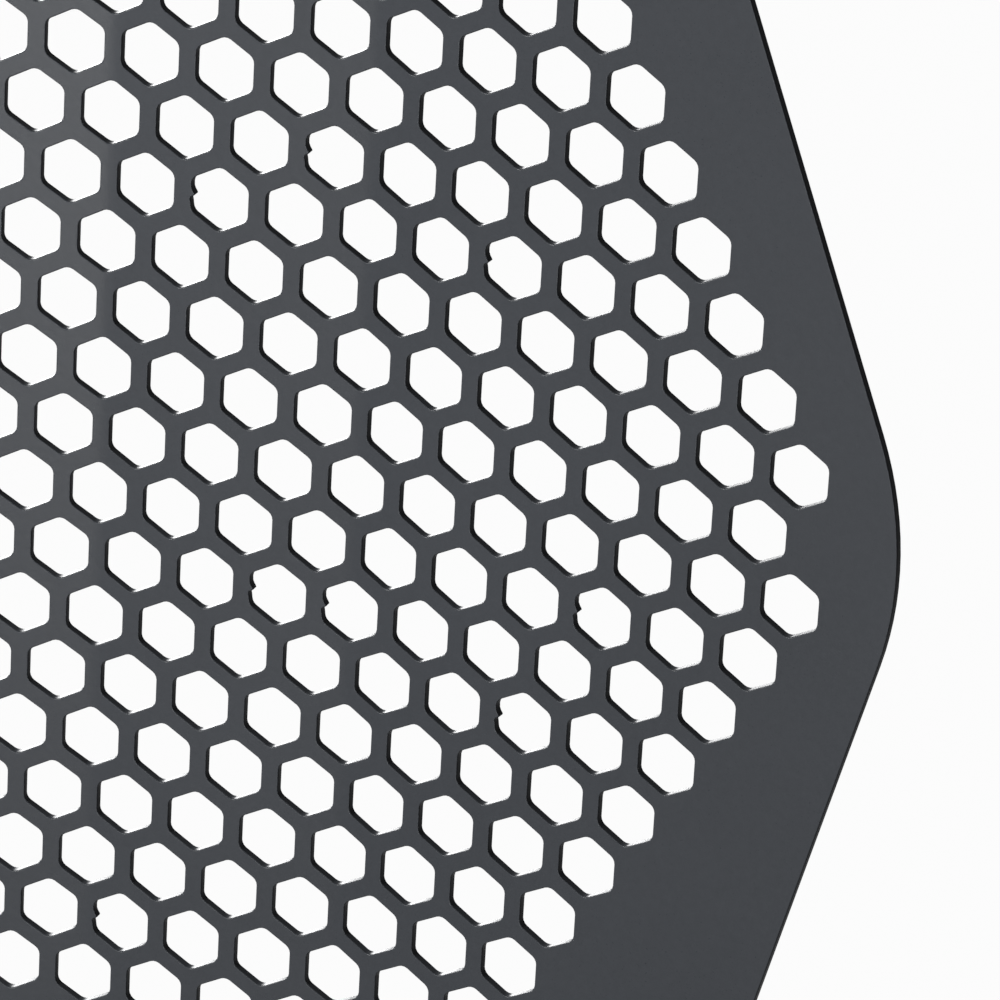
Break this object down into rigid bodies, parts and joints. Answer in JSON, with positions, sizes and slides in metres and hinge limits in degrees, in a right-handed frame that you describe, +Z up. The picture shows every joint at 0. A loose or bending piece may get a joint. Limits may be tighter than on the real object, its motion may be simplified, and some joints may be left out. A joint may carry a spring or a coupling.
{
  "type": "motorcycle radiator guard",
  "caption": "Lightly folded aluminium sheet with a honeycomb of holes, pointed sides and corner fixing holes, which shields a motorcycle's radiator from stones.",
  "frame": {"origin": "middle of the back face of the flat middle panel, half way up the sheet", "axes": "+X across the machine, +Z up, +Y out of the back face towards the radiator, so that the front faces -Y"},
  "size_m": [0.3176, 0.0252, 0.228],
  "materials": {
    "powder_coat": "satin powder coat"
  },
  "bodies": {
    "root": {"guard_sheet": "powder_coat"}
  },
  "joints": []
}
